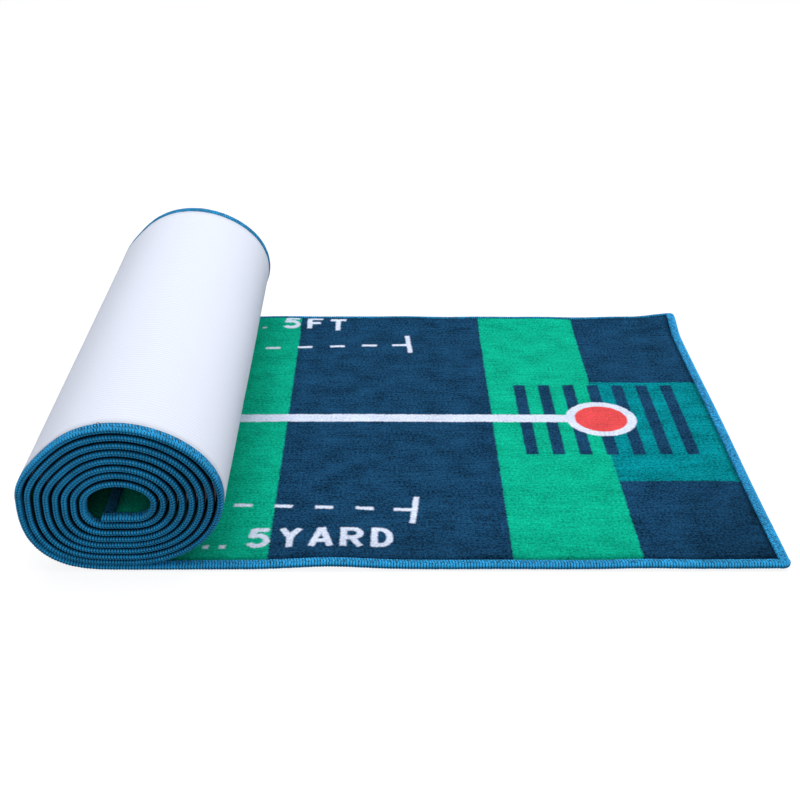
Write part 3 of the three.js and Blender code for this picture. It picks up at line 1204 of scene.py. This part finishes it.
class Edging:
    """The serged yarn that binds the mat's edge, swept along the edge with every thread as real relief."""

    # distance in from the edge, share of the thickness, and face
    SECTION = (
        (9.5, 0.84, Face.TOP), (8.6, 0.955, Face.TOP), (6.8, 1.0, Face.TOP), (4.9, 1.01, Face.TOP),
        (3.4, 0.975, Face.TOP), (2.2, 0.9, Face.UPPER_LOOPS), (1.1, 0.785, Face.UPPER_LOOPS),
        (0.4, 0.645, Face.UPPER_LOOPS), (0.75, 0.5, Face.UPPER_LOOPS), (0.4, 0.355, Face.LOWER_LOOPS),
        (1.1, 0.215, Face.LOWER_LOOPS), (2.2, 0.1, Face.LOWER_LOOPS), (3.4, 0.02, Face.UNDER),
        (6.4, 0.0, Face.UNDER), (9.5, 0.0, Face.UNDER),
    )
    SEAM_ROW = 8  # the point of the section where the two rows of loops lock together
    OUTWARD = 0.35  # how much the ridges stand out sideways rather than up
    LOWEST = 0.02
    PAINTED_SHADE_ABOVE = (0.38, 0.5)  # turns from which the pile side is pressed and painted in shade
    OPEN_IN_EYE = (1.1, 0.95)  # turns before the roll's end from which it is open again, without painted shade
    PAINTED_SHADE_BELOW = (0.93, 1.0)  # turns from which the backing side is pressed and painted in shade
    DARK_FROM = (0.9, 3.4)  # distance in from the edge over which the painted shade deepens
    # painted shade: how dark the yarn is painted between pressed turns and at the seam
    DARK, SEAM_SHADE = 0.93, 0.4
    # painted shade on the inner end, which lies in the eye: the share of brightness left
    INNER_END_PAINTED_SHADE = 0.35

    def __init__(self, size: MatSize, path: MatPath, material: bpy.types.Material) -> None:
        """Keeps what the edging is made from.

        Args:
            size: the mat's dimensions.
            path: the path of the mat.
            material: its finish.
        """
        self.size, self.path, self.material, self.stitch = size, path, material, Stitch()
        self.pull = ValueNoise(19, 4.0, 3.0)
        self.lean = ValueNoise(23, 30.0, 1000.0)

    def sweep(
        self, name: str, edge: np.ndarray, inward: np.ndarray, phase: np.ndarray, bright: float = 1.0
    ) -> bpy.types.Object:
        """Carries the section along an edge drawn on the laid-out mat, and raises the threads on it.

        Each thread is a rounded ridge, the absolute cosine of the distance along the edge over the pitch,
        slanted across the top. On the side the ridges are two rows of loops, the lower a little behind.

        Args:
            name: name of the piece.
            edge: points of the edge as run and Y, in millimetres.
            inward: unit vectors into the mat, in the same two directions.
            phase: distance along the whole edging, in millimetres, which places the stitches.
            bright: share of the yarn's brightness that is left, less than 1 where painted shade darkens it.

        Returns:
            The piece.
        """
        into, share, face = np.array(self.SECTION).T
        st, thickness, width = self.stitch, self.size.thickness, self.size.edging_width
        over = np.cumsum(np.concatenate([[0], np.hypot(np.diff(into), np.diff(share * thickness))]))
        out = np.stack([self.OUTWARD * (into - width / 2), (share - 0.5) * thickness], -1)
        out /= np.linalg.norm(out, axis=1)[:, None]
        count = phase[:, None] / st.pitch + st.sway * self.lean.at(phase, np.zeros_like(phase))[:, None]
        slanted = count - st.slant * over[None, :] / width
        lag = np.where(face == Face.LOWER_LOOPS, st.lower_lag, 0.0)[None, :]
        beside = count - st.side_slant * st.slant - lag
        on_side = ((face == Face.UPPER_LOOPS) | (face == Face.LOWER_LOOPS))[None, :]
        turn = np.where(on_side, beside, slanted)
        crown = np.abs(np.cos(np.pi * turn)) ** st.roundness
        under = np.where(face == Face.UNDER, st.under_share, 1.0)[None, :]
        ridge = np.where(on_side, st.loop, st.ridge) * under
        height = ridge * (crown - st.sunk) + st.uneven * self.pull.at(phase[:, None], over[None, :] * 2)
        run = edge[:, :1] + inward[:, :1] * (into + out[:, 0] * height)
        y = edge[:, 1:] + inward[:, 1:] * (into + out[:, 0] * height)
        run = np.clip(run, 0, self.path.length)
        depth = share * self.path.station(run)[2] + out[:, 1] * height
        rings = self.path.place(run, np.maximum(depth, self.LOWEST), y)
        uv = np.stack(np.broadcast_arrays(phase[:, None] * MM, over[None, :] * MM), -1)
        knit = np.broadcast_to(np.where(on_side, 0.0, 1.0), turn.shape)
        # painted shade between pressed turns, at the seam and on the inner end
        fields = {"turn": turn, "knit": knit, "painted_shade": bright * self.painted_shade(run, into, share)}
        piece = tube_mesh(name, rings, fields, uv)
        piece.data.materials.append(self.material)
        return piece

    def painted_shade(self, run: np.ndarray, into: np.ndarray, share: np.ndarray) -> np.ndarray:
        """Painted shade on the yarn, from 0 to 1: darker inwards from the side where turns press together.

        The pile side is painted in shade on every turn but the one round the eye, the backing side on every
        turn but the outermost. The place where the two rows of loops lock is painted in shade too.

        Args:
            run: millimetres along the mat, for every ring and point of the section.
            into: millimetres in from the edge, for each point of the section.
            share: share of the thickness, for each point.

        Returns:
            The values, in the shape of run.
        """
        turns = np.interp(run, self.path.run, self.path.tau, left=0.0)
        start, end = (self.size.turns - before for before in self.OPEN_IN_EYE)
        above = smoothstep(turns, *self.PAINTED_SHADE_ABOVE) * (1 - smoothstep(turns, start, end))
        below = smoothstep(turns, *self.PAINTED_SHADE_BELOW)
        # painted shade, deepening inwards from the side where two turns press together
        pressed = np.where(share > 0.5, above, below) * smoothstep(into, *self.DARK_FROM)[None, :]
        seam = np.arange(len(into)) == self.SEAM_ROW
        return (1 - self.DARK * pressed) * np.where(seam, self.SEAM_SHADE, 1.0)[None, :]

    def straight(self, reach: Reach, side: float) -> bpy.types.Object:
        """One long edge of a length of mat.

        Args:
            reach: the length of mat.
            side: NEAR or FAR.

        Returns:
            The piece, riding on its body, or fixed in place where it crosses a hinge.
        """
        run = spaced(reach.start, reach.end, self.stitch.pitch / self.stitch.rings)
        edge = np.stack([run, np.full_like(run, side * self.size.half_width)], -1)
        inward = np.tile([0.0, -side], (len(run), 1))
        label = "near" if side == NEAR else "far"
        phase = -run if side == NEAR else run + self.bend_phase()
        piece = self.sweep(f"serged_edging_{label}_{reach.name}", edge, inward, phase)
        attach(piece, reach, self.path, [f"{group}_edging_{label}" for group in reach.stands_for])
        return self.finish(piece)

    def bend_phase(self) -> float:
        """What the distance along the edging gains over the run when it passes the free end."""
        s = self.size
        return 2 * s.half_width - 2 * s.corner_radius * (2 - math.pi / 2)

    def end_loop(self, reach: Reach) -> bpy.types.Object:
        """The edging round the free end: up the near edge, round both corners and down the far edge.

        Args:
            reach: the length of mat at the free end.

        Returns:
            The piece, riding on its body.
        """
        s = self.size
        r, w = s.corner_radius, s.half_width
        straight, arc, across = reach.end - r, r * math.pi / 2, 2 * (w - r)
        total = 2 * straight + 2 * arc + across
        d = spaced(0, total, self.stitch.pitch / self.stitch.rings)
        d = np.minimum(d, total - d)
        back = np.arange(len(d)) > len(d) // 2
        angle = np.clip((d - straight) / r, 0, np.pi / 2)
        along = np.clip(d - straight - arc, 0, None)
        run = reach.end - np.clip(d, 0, straight) - r * np.sin(angle)
        y = -w + r * (1 - np.cos(angle)) + along
        inward = np.stack([np.sin(angle), np.cos(angle)], -1)
        sign = np.where(back, -1.0, 1.0)
        edge = np.stack([run, y * sign], -1)
        inward[:, 1] *= sign
        edge -= inward * s.corner_bulge * np.sin(2 * angle)[:, None]
        phase = -reach.end + spaced(0, total, self.stitch.pitch / self.stitch.rings)
        piece = self.sweep("serged_edging_round_free_end", edge, inward, phase)
        attach(piece, reach, self.path, ["free_end_edging"])
        return self.finish(piece)

    def inner_bar(self, reach: Reach) -> bpy.types.Object:
        """The edging that closes the mat's inner end, in the middle of the roll.

        Args:
            reach: the length of mat that it ends.

        Returns:
            The piece, riding on its body.
        """
        half = self.size.cloth_half
        y = spaced(-half, half, self.stitch.pitch / self.stitch.rings)
        edge = np.stack([np.full_like(y, self.path.length), y], -1)
        inward = np.tile([-1.0, 0.0], (len(y), 1))
        # the inner end lies in the eye and is painted darker as shade
        piece = self.sweep("serged_edging_inner_end", edge, inward, y, self.INNER_END_PAINTED_SHADE)
        attach(piece, reach, self.path, ["core_end_edging"])
        return self.finish(piece)

    def finish(self, piece: bpy.types.Object) -> bpy.types.Object:
        """Reports the piece in the log.

        Args:
            piece: a length of edging.

        Returns:
            The same piece.
        """
        log.info("%s: %d faces", piece.name, len(piece.data.polygons))
        return piece


@dataclass(frozen=True)
class YarnTail:
    """The unsewn end of the serging yarn, which springs out of the near edging on top of the roll."""

    path: MatPath
    at: tuple[float, float, float] = (-246.0, -248.0, 136.0)
    sunk: float = 0.2  # below the backing's outer face
    loop: float = 2.2
    loops: float = 2.0
    start_angle: float = -0.9
    drift: tuple[float, float, float] = (4.0, 2.6, 0.6)  # from the first loop's start to the last one's end
    thick: float = 0.42
    steps: int = 160
    around: int = 8
    colour: str = "#16344A"
    ply: float = 0.4  # length of one twist of the yarn

    def line(self) -> np.ndarray:
        """The yarn's middle line: circles in the plane of the mat's edge that wander sideways.

        Returns:
            Points in metres.
        """
        x, y, z = self.at
        start = self.path.place(np.array(self.path.run_at(x, z)), np.array(-self.sunk), np.array(y))
        share = np.linspace(0, 1, self.steps + 1)[:, None]
        angle = 2 * np.pi * self.loops * share + self.start_angle
        loop = np.concatenate([np.sin(angle), 0 * angle, -np.cos(angle)], 1) * self.loop
        return start + (loop - loop[0] + np.array(self.drift) * share) * MM

    def finish(self) -> bpy.types.Material:
        """Dark matt twisted yarn, with fine flecks along the piece's own UV.

        Returns:
            The material.
        """
        material, tree, shader = blank_material("twisted_yarn_end", Roughness=0.8)
        add = partial(node, tree)
        place = add("UVMap", uv_map="UVMap").outputs[0]
        inputs = {"Vector": place, "Scale": 1 / (self.ply * MM)}
        ply = add("TexNoise", inputs).outputs[0]
        inputs = {0: ply, 6: linear(SergedYarn.VALLEY), 7: linear(self.colour)}
        mix = add("Mix", inputs, data_type="RGBA")
        tree.links.new(mix.outputs[2], shader.inputs["Base Color"])
        return material

    def build(self) -> bpy.types.Object:
        """Carries a circle along the line. The yarn end is too short for a cord: it is fringe on the cloth.

        Returns:
            The piece, riding on the roll.
        """
        line = self.line()
        ahead = np.gradient(line, axis=0)
        ahead /= np.linalg.norm(ahead, axis=1)[:, None]
        side = np.cross(ahead, [0.0, 1.0, 0.0])
        side /= np.linalg.norm(side, axis=1)[:, None]
        above = np.cross(side, ahead)
        turn = np.linspace(0, 2 * np.pi, self.around, endpoint=False)
        ring = np.cos(turn)[None, :, None] * side[:, None] + np.sin(turn)[None, :, None] * above[:, None]
        reach = np.concatenate([[0.0], np.cumsum(np.linalg.norm(np.diff(line, axis=0), axis=1))])
        uv = np.stack(np.broadcast_arrays(reach[:, None], turn[None, :] * MM), -1)
        piece = tube_mesh("serging_yarn_tail", line[:, None] + ring * self.thick / 2 * MM, {}, uv)
        piece.data.materials.append(self.finish())
        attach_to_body(piece, "roll")
        log.info("%s: %.1f mm long", piece.name, reach[-1] / MM)
        return piece


class PuttingMat:
    """The whole mat: its cloths and edging over every length."""

    def __init__(self) -> None:
        """Reads the sizes, works out the path and makes the finishes."""
        self.size = MatSize.from_frame()
        self.path = MatPath(self.size)
        self.backing = Cloth(self.size, self.path, Layer.BACKING, RibbedBacking().build())
        self.pile = Cloth(self.size, self.path, Layer.PILE, PrintedVelvet().build())
        self.edging = Edging(self.size, self.path, SergedYarn().build())

    def build(self) -> None:
        for reach in reaches(self.path):
            backing, pile = self.backing.build(reach), self.pile.build(reach)
            if reach.name == "free_end":
                edging = [self.edging.end_loop(reach)]
            else:
                edging = [self.edging.straight(reach, NEAR), self.edging.straight(reach, FAR)]
            if reach.rolled:
                edging += [self.edging.inner_bar(reach), YarnTail(self.path).build()]
            first, last = self.pile.extent(reach)


# ---------------------------------------------------------------- the studio


@dataclass(frozen=True)
class Panel:
    """A large soft panel light: its centre, the point that it faces and its sides in metres, its watts."""

    name: str
    place: tuple[float, float, float]
    target: tuple[float, float, float]
    sides: tuple[float, float]
    power: float

    def build(self) -> None:
        """Hangs the light up and turns it to its target."""
        data = bpy.data.lights.new(self.name, "AREA")
        data.shape, data.energy = "RECTANGLE", self.power
        data.size, data.size_y = self.sides
        made = bpy.data.objects.new(self.name, data)
        made.location = self.place
        made.rotation_mode = "QUATERNION"
        made.rotation_quaternion = (Vector(self.target) - Vector(self.place)).to_track_quat("-Z", "Y")
        bpy.context.scene.collection.objects.link(made)


@dataclass(frozen=True)
class Studio:
    """A plain pale floor, soft light and the camera, with places in metres in the shared frame."""

    camera_at: tuple[float, float, float] = (-0.0185, -1.0965, 0.6015)
    pitch: float = 27.64
    yaw: float = 0.643
    roll: float = 0.384
    lens: float = 56.72
    floor_half: float = 6.0
    floor_z: float = -0.0002
    around: int = 64
    rise_steps: int = 16
    sky_low: float = 0.3
    sky_high: float = 0.38
    panels: tuple[Panel, ...] = (
        Panel("overhead", (0.1, 0.45, 2.2), (0.05, 0, 0), (3.0, 2.4), 48.0),
        Panel("front", (-0.2, -1.9, 0.9), (0, 0, 0.05), (1.6, 0.9), 5.2),
        Panel("right", (1.6, -0.1, 0.6), (-0.2, 0, 0.08), (1.2, 0.8), 4.5),
    )

    def backdrop(self) -> None:
        """A backlit white table and a white dome behind it, which fill the view and leave the lighting alone.

        The dome is half a ball: rings of points at even angles, joined by quads and closed by a cap.
        """
        r, n, top = self.floor_half, self.around, (self.rise_steps - 1) * self.around
        turn = np.linspace(0, 2 * np.pi, n + 1)[:-1]
        table = np.stack([r * np.cos(turn), r * np.sin(turn), np.full(n, self.floor_z)], -1)
        rise = np.linspace(0, np.pi / 2, self.rise_steps + 1)[:-1]
        wide, high = r * np.cos(rise), r * np.sin(rise)
        x, y, z = np.outer(wide, np.cos(turn)), np.outer(wide, np.sin(turn)), np.outer(high, np.ones(n))
        dome = np.concatenate([np.stack([x, y, z + self.floor_z], -1).reshape(-1, 3), [[0, 0, r]]])
        k = np.arange(top)
        beside = k - k % n + (k + 1) % n
        walls = np.stack([k, beside, beside + n, k + n], -1).tolist()
        cap = [(top + a, top + (a + 1) % n, top + n) for a in range(n)]
        for name, points, faces, diffuse, glow in (
            ("floor", table, [tuple(range(n))], "#808080", 0.86),
            ("backdrop", dome, walls + cap, "#000000", 1.0),
        ):
            mesh = bpy.data.meshes.new(name)
            mesh.from_pydata(points.tolist(), [], faces)
            made = bpy.data.objects.new(name, mesh)
            bpy.context.scene.collection.objects.link(made)
            material, _, shader = blank_material(f"backlit_white_acrylic_{name}", Roughness=1.0)
            shader.inputs["Base Color"].default_value = linear(diffuse)
            shader.inputs["Specular IOR Level"].default_value = 0.0
            shader.inputs["Emission Color"].default_value = (1, 1, 1, 1)
            shader.inputs["Emission Strength"].default_value = glow
            mesh.materials.append(material)
            made.visible_diffuse = made.visible_glossy = made.visible_shadow = False

    def camera(self) -> None:
        """The camera, turned by its pitch, yaw and roll."""
        pitch, yaw, roll = (math.radians(v) for v in (self.pitch, self.yaw, self.roll))
        ahead = Vector((math.sin(yaw) * math.cos(pitch), math.cos(yaw) * math.cos(pitch), -math.sin(pitch)))
        right = Vector((math.cos(yaw), -math.sin(yaw), 0.0))
        above = right.cross(ahead)
        side = right * math.cos(roll) + above * math.sin(roll)
        up = above * math.cos(roll) - right * math.sin(roll)
        data = bpy.data.cameras.new("camera")
        data.lens, data.sensor_width, data.clip_start = self.lens, 36.0, 0.05
        made = bpy.data.objects.new("camera", data)
        rows = [(side[k], up[k], -ahead[k], self.camera_at[k]) for k in range(3)]
        made.matrix_world = Matrix([*rows, (0, 0, 0, 1)])
        bpy.context.scene.collection.objects.link(made)
        bpy.context.scene.camera = made

    def build(self) -> None:
        """Sets up the floor, the camera, the lights and the plain bright surroundings."""
        self.backdrop()
        self.camera()
        for panel in self.panels:
            panel.build()
        world = bpy.data.worlds.new("studio")
        world.use_nodes = True
        tree = world.node_tree
        add = partial(node, tree)
        ray = add("TexCoord").outputs["Generated"]
        up = add("SeparateXYZ", {0: ray}).outputs[2]
        inputs = {"Value": up, "From Min": -0.5, "From Max": 0.5}
        inputs |= {"To Min": self.sky_low, "To Max": self.sky_high}
        sky = add("MapRange", inputs)
        back = tree.nodes["Background"]
        back.inputs[0].default_value = (0.95, 0.97, 1.0, 1)
        tree.links.new(sky.outputs[0], back.inputs[1])
        bpy.context.scene.world = world
        bpy.context.scene.view_settings.view_transform = "Standard"


def main() -> None:
    """Builds the mat and the studio."""
    logging.basicConfig(level=logging.INFO, format="%(message)s")
    Studio().build()
    PuttingMat().build()


if __name__ == "__main__":
    main()
